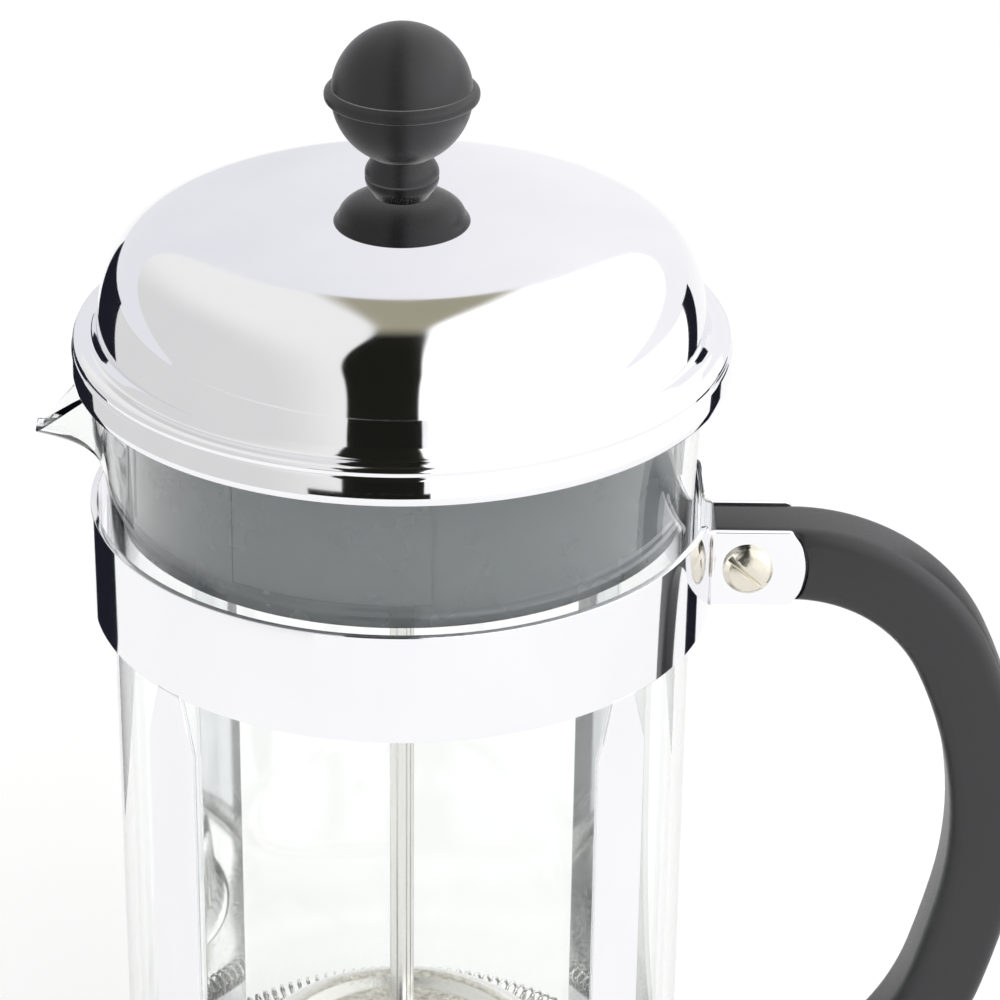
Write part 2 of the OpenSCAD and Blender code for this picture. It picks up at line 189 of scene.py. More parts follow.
def fillAndExtrude(piece, depth, startY):  # turns an outline into a slab that starts at startY
    bpy.ops.mesh.select_all(action="SELECT")
    bpy.ops.mesh.edge_face_add()
    bpy.ops.mesh.extrude_region_move(TRANSFORM_OT_translate={"value": (0, depth * mm, 0)})
    bpy.ops.mesh.select_all(action="SELECT")
    bpy.ops.transform.translate(value=(0, startY * mm, 0))
    bpy.ops.mesh.normals_make_consistent(inside=False)
    bpy.ops.object.mode_set(mode="OBJECT")
    return piece


def spinAll(degrees, steps, centre, axis):  # counterclockwise about the axis
    bpy.ops.mesh.spin(steps=steps, angle=math.radians(-degrees), center=centre, axis=axis)


def closeEnds():
    bpy.ops.mesh.select_all(action="SELECT")
    bpy.ops.mesh.remove_doubles(threshold=0.002 * mm)
    bpy.ops.mesh.select_all(action="DESELECT")
    bpy.ops.mesh.select_non_manifold()
    bpy.ops.mesh.fill_holes(sides=0)
    bpy.ops.mesh.select_all(action="SELECT")
    bpy.ops.mesh.normals_make_consistent(inside=False)


def lathe(name, corners, steps=128, startX=None, degrees=35):
    piece = drawPath(name, rounded(corners), startX)
    bpy.ops.mesh.select_all(action="SELECT")
    centre = (axisX if startX is None else startX, 0, 0)
    spinAll(360, steps, centre, (0, 0, 1))
    bpy.ops.mesh.select_all(action="SELECT")
    bpy.ops.mesh.remove_doubles(threshold=0.002 * mm)
    bpy.ops.mesh.normals_make_consistent(inside=False)
    shadeSmooth(piece, degrees)
    return piece


def finishPiece(piece, finish, body, replaced=()):
    editAll(piece)
    bpy.ops.mesh.normals_make_consistent(inside=False)
    bpy.ops.object.mode_set(mode="OBJECT")
    piece.data.materials.clear()
    piece.data.materials.append(finishes[finish])
    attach(piece, body)
    if replaced:
        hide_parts(*replaced)
    print("made", piece.name, len(piece.data.polygons), "faces")
    return piece



def startMaterial(name, **sockets):
    material = bpy.data.materials.new(name)
    material.use_nodes = True
    shader = material.node_tree.nodes["Principled BSDF"]
    for key, value in sockets.items():
        shader.inputs[key.replace("_", " ")].default_value = value
    return material, material.node_tree, shader


def noiseNode(tree, scale, detail=4.0, stretch=(1, 1, 1)):
    where = tree.nodes.new("ShaderNodeTexCoord")
    mapping = tree.nodes.new("ShaderNodeMapping")
    mapping.inputs["Scale"].default_value = stretch
    noise = tree.nodes.new("ShaderNodeTexNoise")
    noise.inputs["Scale"].default_value = scale
    noise.inputs["Detail"].default_value = detail
    tree.links.new(where.outputs["Object"], mapping.inputs["Vector"])
    tree.links.new(mapping.outputs["Vector"], noise.inputs["Vector"])
    return noise.outputs["Fac"]


def rangeNode(tree, source, low, high, fromLow=0.3, fromHigh=0.7):
    spread = tree.nodes.new("ShaderNodeMapRange")
    spread.inputs["From Min"].default_value = fromLow
    spread.inputs["From Max"].default_value = fromHigh
    spread.inputs["To Min"].default_value = low
    spread.inputs["To Max"].default_value = high
    tree.links.new(source, spread.inputs["Value"])
    return spread.outputs["Result"]


def addBump(tree, shader, height, depth, strength=1.0):
    bump = tree.nodes.new("ShaderNodeBump")
    bump.inputs["Strength"].default_value = strength
    bump.inputs["Distance"].default_value = depth * mm
    tree.links.new(height, bump.inputs["Height"])
    tree.links.new(bump.outputs["Normal"], shader.inputs["Normal"])


def blendColours(tree, shader, mask, dark, light):
    mix = tree.nodes.new("ShaderNodeMix")
    mix.data_type = "RGBA"
    mix.inputs[6].default_value = (*dark, 1)
    mix.inputs[7].default_value = (*light, 1)
    tree.links.new(mask, mix.inputs[0])
    tree.links.new(mix.outputs[2], shader.inputs["Base Color"])


def chromeFinish():  # polished plate with faint smears
    material, tree, shader = startMaterial("chrome", Metallic=1.0)
    smears = noiseNode(tree, 60, 5, (1, 1, 0.4))
    tree.links.new(rangeNode(tree, smears, 0.03, 0.075), shader.inputs["Roughness"])
    blendColours(tree, shader, smears, (0.86, 0.86, 0.89), (0.93, 0.93, 0.95))
    addBump(tree, shader, noiseNode(tree, 25, 2), 0.01, 0.06)
    return material


def platedFinish():  # nickel plate on the bolt, nut, rivets and cross
    material, tree, shader = startMaterial("platedSteel", Metallic=1.0)
    smears = noiseNode(tree, 250, 5)
    tree.links.new(rangeNode(tree, smears, 0.14, 0.30), shader.inputs["Roughness"])
    blendColours(tree, shader, smears, (0.70, 0.66, 0.57), (0.85, 0.81, 0.71))
    addBump(tree, shader, noiseNode(tree, 1400, 3), 0.012)
    return material


def stainlessFinish():  # drawn rod and pressed filter plates
    material, tree, shader = startMaterial("stainless", Metallic=1.0)
    drawn = noiseNode(tree, 900, 4, (1, 1, 0.04))
    tree.links.new(rangeNode(tree, drawn, 0.12, 0.28), shader.inputs["Roughness"])
    blendColours(tree, shader, drawn, (0.76, 0.75, 0.72), (0.88, 0.87, 0.84))
    addBump(tree, shader, drawn, 0.01)
    return material


def meshFinish():  # wires crossing at 0.7 mm
    material, tree, shader = startMaterial("filterMesh", Metallic=1.0, Roughness=0.3)
    where = tree.nodes.new("ShaderNodeTexCoord")
    waves = []
    for direction in ("X", "Y"):
        wave = tree.nodes.new("ShaderNodeTexWave")
        wave.bands_direction = direction
        wave.inputs["Scale"].default_value = 450
        tree.links.new(where.outputs["Object"], wave.inputs["Vector"])
        waves.append(wave.outputs["Fac"])
    weave = tree.nodes.new("ShaderNodeMath")
    weave.operation = "MAXIMUM"
    tree.links.new(waves[0], weave.inputs[0])
    tree.links.new(waves[1], weave.inputs[1])
    blendColours(tree, shader, weave.outputs[0], (0.10, 0.10, 0.10), (0.72, 0.71, 0.69))
    addBump(tree, shader, weave.outputs[0], 0.15)
    return material


def blackFinish(name, level, smooth, rough):  # moulded plastic with a fine spark-eroded grain
    material, tree, shader = startMaterial(name, Specular_IOR_Level=level, Specular_Tint=(0.97, 0.97, 1, 1))
    grain = noiseNode(tree, 3200, 3)
    clouds = noiseNode(tree, 45, 4)
    tree.links.new(rangeNode(tree, grain, smooth, rough), shader.inputs["Roughness"])
    blendColours(tree, shader, clouds, (0.009, 0.009, 0.010), (0.014, 0.014, 0.015))
    addBump(tree, shader, grain, 0.03, 0.55)
    return material


def greyFinish():  # half see-through strainer plastic
    material, tree, shader = startMaterial("greyPlastic", IOR=1.5, Transmission_Weight=0.25)
    clouds = noiseNode(tree, 70, 3)
    tree.links.new(rangeNode(tree, clouds, 0.20, 0.32), shader.inputs["Roughness"])
    blendColours(tree, shader, clouds, (0.235, 0.262, 0.278), (0.27, 0.30, 0.315))
    addBump(tree, shader, noiseNode(tree, 900, 3), 0.01, 0.5)
    return material


def glassFinish():  # borosilicate with a trace of green and drawn ripples
    material, tree, shader = startMaterial("glass", IOR=1.47, Transmission_Weight=1.0,
                                           Base_Color=(0.990, 0.999, 0.994, 1))
    tree.links.new(rangeNode(tree, noiseNode(tree, 90, 4), 0.0, 0.008), shader.inputs["Roughness"])
    addBump(tree, shader, noiseNode(tree, 12, 1, (1, 1, 0.3)), 0.02, 0.1)
    return material


def brassFinish():
    material, tree, shader = startMaterial("brass", Metallic=1.0)
    turned = noiseNode(tree, 700, 4, (0.1, 0.1, 1))
    tree.links.new(rangeNode(tree, turned, 0.2, 0.38), shader.inputs["Roughness"])
    blendColours(tree, shader, turned, (0.62, 0.45, 0.20), (0.80, 0.62, 0.33))
    addBump(tree, shader, turned, 0.02)
    return material


finishes = {
    "chrome": chromeFinish(), "plated_steel": platedFinish(), "stainless": stainlessFinish(),
    "black_plastic": blackFinish("blackPlastic", 0.5, 0.32, 0.44), "grey_plastic": greyFinish(),
    "glass": glassFinish(), "brass": brassFinish()}
meshWires = meshFinish()
gripBlack = blackFinish("gripPlastic", 0.65, 0.3, 0.42)
ferruleBlack = blackFinish("ferrulePlastic", 0.28, 0.22, 0.34)
print("finishes ready")


strip = {
    "radius": hoopHigh.y / mm - 0.55,  # middle of the sheet
    "thick": 1.1, "top": hoopHigh.z / mm, "height": 18.7, "bend": 1.5, "earY": 5.55,
    "earLow": 145.6, "earHigh": 159.0, "earTip": hoopHigh.x / mm - axisX / mm, "earCorner": 2.4,
    "legWidth": 10.6, "neckWidth": 5.3, "neckHeight": 9.6, "curl": 5.05, "curlTurn": 205,
    "legTurns": (45, 135, 225, 315)}


def makeHoop():
    s = strip
    low = s["top"] - s["height"]
    far = s["radius"] + s["bend"]
    bendY = s["earY"] + s["bend"]
    bendX = math.sqrt(far ** 2 - bendY ** 2)
    ends = math.degrees(math.asin(bendY / far))
    piece = addSection("standHoop", (bendX, s["earY"], low + s["height"] / 2), s["height"], s["thick"])
    bpy.ops.mesh.delete(type="ONLY_FACE")
    bpy.ops.mesh.select_all(action="SELECT")
    turns = ((bendX, bendY, ends - 90, 8), (0, 0, 360 - 2 * ends, 240), (bendX, -bendY, ends - 90, 8))
    for x, y, degrees, steps in turns:
        spinAll(degrees, steps, (axisX + x * mm, y * mm, 0), (0, 0, 1))
    closeEnds()
    bpy.ops.object.mode_set(mode="OBJECT")
    for vert in piece.data.vertices:  # the band narrows to the ears just before the folds
        x, y, z = vert.co.x / mm - axisX / mm, abs(vert.co.y / mm), vert.co.z / mm
        if x < 0 or y > 12:
            continue
        ease = min(1, (12 - y) / 4)
        goal = s["earHigh"] if z > low + 5 else s["earLow"]
        vert.co.z += (goal - z) * ease * mm
    ears = []
    for side in (-1, 1):
        corner = s["earCorner"]
        middle = (s["earLow"] + s["earHigh"]) / 2
        outline = [(bendX - 0.2, s["earLow"]), (s["earTip"] - corner, s["earLow"], 0.5),
                   (s["earTip"] - 0.7, s["earLow"] + corner, 1.2), (s["earTip"] + 0.2, middle, 2.2),
                   (s["earTip"] - 0.7, s["earHigh"] - corner, 1.2),
                   (s["earTip"] - corner, s["earHigh"], 0.5), (bendX - 0.2, s["earHigh"])]
        ear = drawPath("ear", rounded(outline))
        ears.append(fillAndExtrude(ear, s["thick"], side * s["earY"] - s["thick"] / 2))
    joinAll(piece, ears)
    softenEdges(piece, 0.28, 2, 40)
    shadeSmooth(piece, 40)
    evenShading(piece)
    return piece


def makeLeg():
    s = strip
    low = s["top"] - s["height"]
    centre = s["radius"] + s["curl"]
    sole = s["curl"] + s["thick"] / 2 + 0.01
    path = [Vector((s["radius"], low + 0.6)), Vector((s["radius"], low - 0.1)),
            Vector((s["radius"], low - s["neckHeight"])), Vector((s["radius"], sole))]
    leg = drawPath("leg", path)
    spinAll(-s["curlTurn"], 20, (axisX + centre * mm, 0, sole * mm), (0, 1, 0))
    bpy.ops.mesh.select_all(action="SELECT")
    bpy.ops.mesh.remove_doubles(threshold=0.002 * mm)
    bpy.ops.mesh.extrude_region_move(TRANSFORM_OT_translate={"value": (0, s["legWidth"] * mm, 0)})
    bpy.ops.mesh.select_all(action="SELECT")
    bpy.ops.transform.translate(value=(0, -s["legWidth"] / 2 * mm, 0))
    bpy.ops.object.mode_set(mode="OBJECT")
    for vert in leg.data.vertices:
        if vert.co.z > (low - 1) * mm:
            vert.co.y *= s["neckWidth"] / s["legWidth"]
    thicken(leg, s["thick"])
    editAll(leg)
    bpy.ops.mesh.normals_make_consistent(inside=False)
    bpy.ops.object.mode_set(mode="OBJECT")
    softenEdges(leg, 0.28, 2, 40)
    shadeSmooth(leg, 40)
    evenShading(leg)
    return leg


hoop = makeHoop()
firstLeg = makeLeg()
legs = [firstLeg] + [copyOf(firstLeg, "leg") for k in range(3)]
for leg, degrees in zip(legs, strip["legTurns"]):
    turnAboutRod(leg, degrees)
stamping = joinAll(hoop, legs)
stamping.name = "standStamping"
finishPiece(stamping, "chrome", "stand", ["frame_hoop"])

cross = {"top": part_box("base_cross")[0].z / mm + 1.4, "thick": 1.4, "width": 10.6,
         "tabOuter": strip["radius"] - strip["thick"] / 2 - 0.05, "tabThick": 1.1,
         "tabTop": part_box("base_cross")[1].z / mm, "disc": 16, "hole": 9}


def makeCross():
    c = cross
    disc = lathe("crossDisc", [(c["hole"], c["top"] - c["thick"]), (c["disc"], c["top"] - c["thick"], 0.3),
                               (c["disc"], c["top"], 0.3), (c["hole"], c["top"], 0.3),
                               (c["hole"], c["top"] - c["thick"])], 64)
    arms = []
    for degrees in strip["legTurns"]:
        arm = addBox("crossArm", (c["disc"] - 3, -c["width"] / 2, c["top"] - c["thick"]),
                     (c["tabOuter"], c["width"] / 2, c["top"]))
        editAll(arm)
        bpy.ops.mesh.bisect(plane_co=(axisX + (c["tabOuter"] - c["tabThick"]) * mm, 0, 0), plane_no=(1, 0, 0))
        edge = axisX + (c["tabOuter"] - c["tabThick"] - 0.1) * mm
        bpy.ops.mesh.select_mode(type="FACE")
        bpy.ops.mesh.select_all(action="DESELECT")
        bpy.ops.object.mode_set(mode="OBJECT")
        for face in arm.data.polygons:
            face.select = face.normal.z > 0.9 and face.center.x > edge
        bpy.ops.object.mode_set(mode="EDIT")
        upwards = (0, 0, (c["tabTop"] - c["top"]) * mm)
        bpy.ops.mesh.extrude_region_move(TRANSFORM_OT_translate={"value": upwards})
        bpy.ops.object.mode_set(mode="OBJECT")
        softenEdges(arm, 0.3, 2, 40)
        shadeSmooth(arm, 40)
        turnAboutRod(arm, degrees)
        arms.append(arm)
    return joinAll(disc, arms)


baseCross = makeCross()
baseCross.name = "baseCross"
finishPiece(baseCross, "plated_steel", "stand", ["base_cross"])

rivet = {"head": 2.6, "shank": 1.4, "height": 1.3}


def makeRivets():
    r = rivet
    low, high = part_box("base_rivets")
    middle = (low.z + high.z) / 2
    face = strip["radius"] + strip["thick"] / 2
    end = -2 * strip["thick"]
    first = lathe("rivet", [(0, end), (r["shank"], end, 0.2), (r["shank"], 0), (r["head"], 0, 0.1),
                            (r["head"] * 0.86, r["height"] * 0.62, 0.8), (r["head"] * 0.3, r["height"], 0.6),
                            (0, r["height"])], 32, 0)
    placeIt(first, (axisX + face * mm, 0, middle), (0, 90, 0))
    rivets = [first] + [copyOf(first, "rivet") for k in range(3)]
    for one, degrees in zip(rivets, strip["legTurns"]):
        turnAboutRod(one, degrees)
    return joinAll(rivets[0], rivets[1:])


rivets = makeRivets()
rivets.name = "rivets"
finishPiece(rivets, "plated_steel", "stand", ["base_rivets"])


grip = {
    "width": 13.0, "thick": 12.2, "round": 2.6, "lugX": 51.9, "lugZ": 152.3,
    "straight": 13.1, "bends": ((30.5, 64), (80, 18), (74, 20), (200, 4), (50, 52)), "tail": 7.0,
    "recess": 1.12, "gap": 0.5, "boltX": 57.3}


def makeHandle():
    g = grip
    piece = addSection("handleGrip", (g["lugX"], 0, g["lugZ"]), g["width"], g["thick"])
    bpy.ops.mesh.bevel(offset=g["round"] * mm, segments=5, affect="VERTICES", profile=0.55)
    bpy.ops.mesh.delete(type="ONLY_FACE")
    bpy.ops.mesh.select_all(action="SELECT")
    x, z, turn = g["lugX"], g["lugZ"], 0.0
    bpy.ops.mesh.extrude_region_move(TRANSFORM_OT_translate={"value": (g["straight"] * mm, 0, 0)})
    x += g["straight"]
    for radius, degrees in g["bends"]:
        heading = math.radians(turn)
        centreX, centreZ = x - radius * math.sin(heading), z - radius * math.cos(heading)
        spinAll(degrees, max(3, int(degrees / 2.5)), (axisX + centreX * mm, 0, centreZ * mm), (0, 1, 0))
        turn += degrees
        heading = math.radians(turn)
        x, z = centreX + radius * math.sin(heading), centreZ + radius * math.cos(heading)
    heading = math.radians(turn)
    for step, shrink in ((g["tail"], 0.93), (2.2, 0.86), (1.2, 0.75), (0.5, 0.6)):  # the rounded lower end
        ahead = Vector((math.cos(heading), 0, -math.sin(heading))) * step * mm
        bpy.ops.mesh.extrude_region_move(TRANSFORM_OT_translate={"value": ahead})
        x, z = x + ahead.x / mm, z + ahead.z / mm
        bpy.ops.transform.resize(value=(shrink, shrink, shrink), center_override=(axisX + x * mm, 0, z * mm))
    closeEnds()
    bpy.ops.object.mode_set(mode="OBJECT")
    for side in (-1, 1):  # beds for the ears
        e, gap = strip, g["gap"]
        turned = e["earTip"] - e["earCorner"] + gap
        start, low, high = g["lugX"] - 3, e["earLow"], e["earHigh"]
        outline = [(start, low - 5), (turned, low - 5), (turned, low - gap / 2),
                   (e["earTip"] - 0.7 + gap, low + e["earCorner"], 1.2),
                   (e["earTip"] + 0.2 + gap, (low + high) / 2, 2.2),
                   (e["earTip"] - 0.7 + gap, high - e["earCorner"], 1.2),
                   (turned, high + gap / 2), (turned, high + 5), (start, high + 5)]
        bed = drawPath("bed", rounded(outline))
        cutWith(piece, fillAndExtrude(bed, side * 9, side * (g["thick"] / 2 - g["recess"])))
    softenEdges(piece, 0.35, 3, 50)
    shadeSmooth(piece, 40)
    return piece


handleGrip = makeHandle()
finishPiece(handleGrip, "black_plastic", "stand", ["handle"])
handleGrip.data.materials[0] = gripBlack

bolt = {"head": 4.15, "high": 2.0, "shank": 2.0, "slot": 1.15, "slotDeep": 0.95, "slotTurn": 40,
        "washer": 4.5, "washerThick": 0.8, "nut": 4.04, "nutThick": 3.2}


def makeBolt():
    b = bolt
    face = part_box("handle_washer")[0].y / mm  # outer face of the ears
    where = (axisX + grip["boltX"] * mm, -face * mm, grip["lugZ"] * mm)
    back = 2 * face + b["washerThick"] + b["nutThick"] + 0.5
    head = lathe("clampBolt", [(0, -back), (b["shank"], -back, 0.3), (b["shank"], 0), (b["head"], 0, 0.1),
                               (b["head"], b["high"] * 0.45, 0.35), (b["head"] * 0.8, b["high"] * 0.86, 0.5),
                               (b["head"] * 0.4, b["high"] * 0.975, 0.5), (0, b["high"])], 64, 0)
    cutter = addBox("slot", (-b["head"] - 1, -b["slot"] / 2, b["high"] - b["slotDeep"]),
                    (b["head"] + 1, b["slot"] / 2, b["high"] + 1))
    cutter.data.transform(Matrix.Translation((-axisX, 0, 0)))
    cutWith(head, cutter)
    softenEdges(head, 0.08, 2, 50)
    shadeSmooth(head, 40)
    placeIt(head, where, (90, 0, 0))
    editAll(head)
    bpy.ops.transform.rotate(value=math.radians(-b["slotTurn"]), orient_axis="Y", center_override=where)
    bpy.ops.object.mode_set(mode="OBJECT")
    finishPiece(head, "plated_steel", "stand", ["handle_bolt"])

    hole, thick = b["shank"] + 0.1, b["washerThick"]
    washer = lathe("backWasher", [(hole, 0), (b["washer"], 0, 0.15), (b["washer"], thick, 0.15),
                                  (hole, thick, 0.15), (hole, 0)], 64, 0)
    placeIt(washer, (where[0], face * mm, where[2]), (-90, 0, 0))
    finishPiece(washer, "plated_steel", "stand", ["handle_washer"])

    clearSelection()
    bpy.ops.mesh.primitive_cylinder_add(vertices=6, radius=b["nut"] * mm, depth=b["nutThick"] * mm,
                                        rotation=(0, 0, math.pi / 6))
    bpy.ops.object.transform_apply(location=True, rotation=True, scale=True)
    nut = nameIt("backNut")
    far, near, wide = b["nutThick"] * 0.6, b["nutThick"] * 0.28, b["nut"] * 1.08
    rounder = lathe("rounder", [(0, -far), (b["nut"] * 0.5, -far), (wide, -near), (wide, near),
                                (b["nut"] * 0.5, far), (0, far)], 48, 0)
    applyModifier(nut, "BOOLEAN", operation="INTERSECT", object=rounder, solver="EXACT")
    bpy.data.objects.remove(rounder)
    bore = lathe("bore", [(0, -9), (b["shank"], -9), (b["shank"], 9), (0, 9)], 48, 0)
    cutWith(nut, bore)
    softenEdges(nut, 0.1, 2, 40)
    shadeSmooth(nut, 35)
    placeIt(nut, (where[0], (face + b["washerThick"] + b["nutThick"] / 2) * mm, where[2]), (-90, 0, 0))
    finishPiece(nut, "plated_steel", "stand", ["handle_nut"])


makeBolt()
print("stand and handle ready")


jug = {
    "low": glassLow.z / mm, "rim": glassHigh.z / mm - 0.28, "radius": 48.25, "wall": 2.2, "floor": 2.6,
    "corner": 7.0, "flare": 1.9, "flareHeight": 30, "spoutReach": -(glassLow.x - axisX) / mm,
    "lipDrop": 6.5, "tipDrop": 10.0, "tipWidth": 7.0, "rootWidth": 15.0, "spoutLow": 157.0}


def makeBeaker():
    j = jug
    flareLow = j["rim"] - j["flareHeight"]
    shares = [1 - (1 - i / 40) ** 1.9 for i in range(41)]  # close together near the rim
    rows = [(j["radius"] + j["flare"] * share ** 2, flareLow + j["flareHeight"] * share) for share in shares]
    wallLow = j["low"] + j["corner"]
    wallRows = [(j["radius"], wallLow + (flareLow - wallLow) * i / 12) for i in range(1, 12)]
    cornerRows = [(j["radius"] - j["corner"] * (1 - math.sin(a)), j["low"] + j["corner"] * (1 - math.cos(a)))
                  for a in [math.pi / 2 * i / 8 for i in range(9)]]
    corners = [(0, j["low"]), (j["radius"] * 0.5, j["low"])] + cornerRows + wallRows + rows
    shell = lathe("glassBeaker", corners, 240)
    reach = j["spoutReach"] - j["radius"] - j["flare"] - 0.55
    for vert in shell.data.vertices:  # the lip is pulled out and down
        x, y, z = vert.co.x / mm - axisX / mm, vert.co.y / mm, vert.co.z / mm
        if x > 0 or z < j["spoutLow"]:
            continue
        share = (z - j["spoutLow"]) / (j["rim"] - j["spoutLow"])
        tip = math.exp(-abs(y / j["tipWidth"]) ** 2.3)
        root = math.exp(-(y / j["rootWidth"]) ** 4)
        z -= (j["lipDrop"] * root + j["tipDrop"] * tip) * share
        pull = reach * tip * share ** 7.5 + 0.5 * root * share
        r = math.hypot(x, y)
        narrow = 1 - 0.25 * tip * share ** 2
        vert.co = (axisX + (x * (r + pull) / r) * mm, y * narrow * mm, z * mm)
    editAll(shell)
    bpy.ops.mesh.normals_make_consistent(inside=False)
    bpy.ops.object.mode_set(mode="OBJECT")
    thicken(shell, j["wall"], -1)
    softenEdges(shell, 1.0, 5, 50)
    shadeSmooth(shell, 60)
    return shell


beaker = makeBeaker()
finishPiece(beaker, "glass", "beaker", ["beaker"])


lid = {
    "outer": (domeHigh.x - domeLow.x) / 2 / mm, "skirtLow": domeLow.z / mm, "crown": domeHigh.z / mm,
    "ledge": domeLow.z / mm + 6.3, "dome": 49.5, "thick": 0.8, "power": 10, "hub": 5.4, "nutR": 9, "steps": 40}


def domePath(radius, height):
    # Superellipse from the ledge up over the shoulder to the flat crown.
    path = []
    for i in range(lid["steps"] + 1):
        a = math.pi / 2 * i / lid["steps"]
        path.append((radius * math.cos(a) ** (2 / lid["power"]), lid["ledge"] + height * math.sin(a)))
    return [p for p in path if p[0] > lid["hub"] + 0.1]


def makeDome():
    d = lid
    height = d["crown"] - d["ledge"]
    outer = domePath(d["dome"], height)[2:]
    inner = domePath(d["dome"] - d["thick"], height - d["thick"])[2:]
    corners = ([(d["outer"] - 1.0, d["skirtLow"] + 0.5), (d["outer"] - 0.9, d["skirtLow"], 0.2),
                (d["outer"] - 0.15, d["skirtLow"], 0.3), (d["outer"], d["skirtLow"] + 1.2, 0.5),
                (d["outer"] - 0.15, d["ledge"] - 1.9, 0.3), (d["outer"] - 0.5, d["ledge"] - 1.6, 0.12),
                (d["outer"] - 0.3, d["ledge"] - 0.5, 0.5), (d["outer"] - 1.3, d["ledge"], 0.8),
                (d["dome"] + 0.9, d["ledge"] - 0.12, 0.7), (d["dome"], d["ledge"] + 1.3, 0.5)]
               + outer + [(d["hub"] + 0.1, d["crown"]), (d["hub"] + 0.1, d["crown"] - d["thick"])]
               + inner[::-1]
               + [(d["dome"] - d["thick"], d["ledge"] - d["thick"], 0.3),
                  (d["outer"] - 1.6, d["ledge"] - d["thick"], 0.4),
                  (d["outer"] - 1.0, d["ledge"] - 2.2, 0.3), (d["outer"] - 1.0, d["skirtLow"] + 0.5)])
    return lathe("domeShell", corners, 256, None, 60)


dome = makeDome()
finishPiece(dome, "chrome", "lid", ["lid_dome"])

strainer = {
    "radius": 45.3, "thick": 1.6, "low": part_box("lid_strainer")[0].z / mm,
    "web": jug["rim"] - 1.6, "webThick": 1.7, "brimR": 51.3, "brimLow": jug["rim"] + 0.1,
    "brimHigh": lid["ledge"] - lid["thick"], "boss": 7.4,
    "slots": 9, "slotWidth": 1.6, "pitch": 6.0, "panel": (-124, -82, 3.4, 24.5)}


def makeStrainer():
    s = strainer
    inner = s["radius"] - s["thick"]
    tube = lid["hub"] + 0.1
    r, low, web, roof = s["radius"], s["low"], s["web"], lid["crown"] - lid["thick"]
    webTop = web + s["webThick"]
    corners = [(r, low + 12), (r, low + 2.2, 0.3), (r + 0.4, low + 1.8, 0.3), (r + 0.4, low, 0.5),
               (inner, low, 0.5), (inner, web, 1.6), (s["boss"] + 0.6, web, 0.3), (tube, web), (tube, roof),
               (s["boss"], roof, 0.3),
               (s["boss"], webTop, 1.0), (inner, webTop, 0.4), (inner, s["brimHigh"], 0.3),
               (s["brimR"], s["brimHigh"], 0.4), (s["brimR"], s["brimLow"], 0.4), (r, s["brimLow"], 0.6),
               (r, low + 12)]
    piece = lathe("strainerSkirt", corners, 240)
    cutters = []
    for k in range(s["slots"]):
        cutter = addBox("slot", (-s["radius"] - 3, -s["slotWidth"] / 2, s["low"] + 5),
                        (-inner + 3, s["slotWidth"] / 2, s["low"] + 23))
        softenEdges(cutter, 0.5, 3)
        turnAboutRod(cutter, s["pitch"] * (k - (s["slots"] - 1) / 2))
        cutters.append(cutter)
    cutWith(piece, joinAll(cutters[0], cutters[1:]))
    shadeSmooth(piece, 35)
    return piece


def makePanelFrame():  # thin raised border on the strainer, where a maker would put a mark
    s = strainer
    fromTurn, toTurn, low, high = s["panel"]
    bars = []
    r, proud, width = s["radius"] - 0.1, 0.22, 0.45
    spans = ((fromTurn, toTurn, low, low + width), (fromTurn, toTurn, high - width, high),
             (fromTurn, fromTurn + 0.6, low, high), (toTurn - 0.6, toTurn, low, high))
    for start, end, bottom, top in spans:
        bottom, top = s["low"] + bottom, s["low"] + top
        section = ((r, bottom), (r + proud, bottom), (r + proud, top), (r, top), (r, bottom))
        bar = drawPath("bar", [Vector(corner) for corner in section])
        bpy.ops.mesh.select_all(action="SELECT")
        bpy.ops.mesh.remove_doubles(threshold=0.002 * mm)
        bpy.ops.mesh.select_all(action="SELECT")
        spinAll(end - start, max(2, int((end - start) / 1.5)), axisPoint, (0, 0, 1))
        closeEnds()
        bpy.ops.object.mode_set(mode="OBJECT")
        turnAboutRod(bar, start)
        bars.append(bar)
    return joinAll(bars[0], bars[1:])


skirt = makeStrainer()
border = makePanelFrame()
shadeSmooth(border, 35)
skirt = joinAll(skirt, [border])
finishPiece(skirt, "grey_plastic", "lid", ["lid_strainer"])

ferrule = {"low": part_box("lid_ferrule")[0].z / mm, "high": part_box("lid_ferrule")[1].z / mm,
           "radius": 11.08, "neck": 4.3, "bead": 5.95, "beadHeight": 3.3, "bore": 2.15}


def makeFerrule():
    f = ferrule
    base = lid["crown"] + 0.1
    neckZ = f["high"] - f["beadHeight"] + 0.15
    slope = []
    for i in range(1, 13):
        a = math.pi / 2 * i / 12
        slope.append((f["neck"] + (f["radius"] - 0.75 - f["neck"]) * math.cos(a),
                      base + 1.0 + (neckZ - base - 1.0) * math.sin(a)))
    corners = ([(f["bore"], f["low"]), (lid["hub"], f["low"], 0.4), (lid["hub"], base),
                (f["radius"] - 0.3, base, 0.15), (f["radius"], base + 0.35, 0.3),
                (f["radius"] - 0.35, base + 0.95, 0.3)] + slope
               + [(f["bead"] * 0.8, neckZ + 0.7, 0.5), (f["bead"] * 0.98, f["high"] - 1.0, 0.7),
                  (f["bead"], f["high"], 0.12), (f["bore"], f["high"]), (f["bore"], f["low"])])
    return lathe("ferruleCone", corners, 96)


ferruleCone = finishPiece(makeFerrule(), "black_plastic", "lid_hub", ["lid_ferrule"])
ferruleCone.data.materials[0] = ferruleBlack


